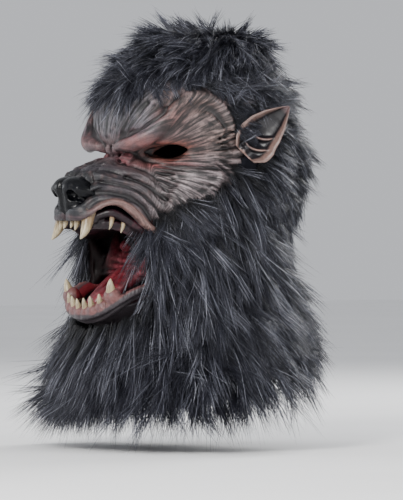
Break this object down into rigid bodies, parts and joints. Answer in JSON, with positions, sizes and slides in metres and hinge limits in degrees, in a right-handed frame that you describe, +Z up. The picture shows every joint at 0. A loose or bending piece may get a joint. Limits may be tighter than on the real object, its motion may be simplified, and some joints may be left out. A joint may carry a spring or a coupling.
{
  "type": "werewolf mask",
  "caption": "Over-the-head snarling werewolf mask with a latex face, cast fangs, a hinged lower jaw and a long-pile fur hood and bib.",
  "frame": {"origin": "on the underside of the crown pad, where the top of the wearer's head comes to rest", "axes": "+Z up, the face looks along -Y, +X to the wearer's left"},
  "size_m": [0.3114, 0.3102, 0.429],
  "materials": {
    "charcoal_fur": "long-pile faux fur, charcoal with pale grey fibres",
    "face_latex": "painted latex, satin",
    "jaw_latex": "painted latex, satin",
    "ear_latex": "painted latex, satin",
    "nose_gloss": "gloss black",
    "mouth_latex": "wet-look red",
    "tongue_latex": "wet-look red",
    "ivory_teeth": "gloss ivory with brown staining",
    "foam_padding": "dark open-cell foam"
  },
  "bodies": {
    "hood": {"crown_fur": "charcoal_fur", "left_back_fur": "charcoal_fur", "right_back_fur": "charcoal_fur", "left_cheek_fur": "charcoal_fur", "right_cheek_fur": "charcoal_fur", "left_shoulder_fur": "charcoal_fur", "right_shoulder_fur": "charcoal_fur", "front_bib_fur": "charcoal_fur", "face_shell": "face_latex", "left_ear": "ear_latex", "right_ear": "ear_latex", "nose": "nose_gloss", "palate": "mouth_latex", "left_upper_canine": "ivory_teeth", "right_upper_canine": "ivory_teeth", "upper_incisors": "ivory_teeth", "left_upper_premolars": "ivory_teeth", "right_upper_premolars": "ivory_teeth", "crown_pad": "foam_padding", "brow_pad": "foam_padding", "nape_pad": "foam_padding"},
    "jaw": {"jaw_shell": "jaw_latex", "lower_gum": "mouth_latex", "tongue": "tongue_latex", "left_lower_canine": "ivory_teeth", "right_lower_canine": "ivory_teeth", "lower_incisors": "ivory_teeth", "chin_cup": "foam_padding", "chin_fur": "charcoal_fur", "left_jowl_fur": "charcoal_fur", "right_jowl_fur": "charcoal_fur"}
  },
  "joints": [
    {"name": "jaw_hinge", "type": "hinge", "parent": "hood", "child": "jaw", "pos_m": [0, -0.01, -0.135], "axis": [1, 0, 0], "range_deg": [-8, 4], "stiffness_Nm_per_rad": 12}
  ]
}
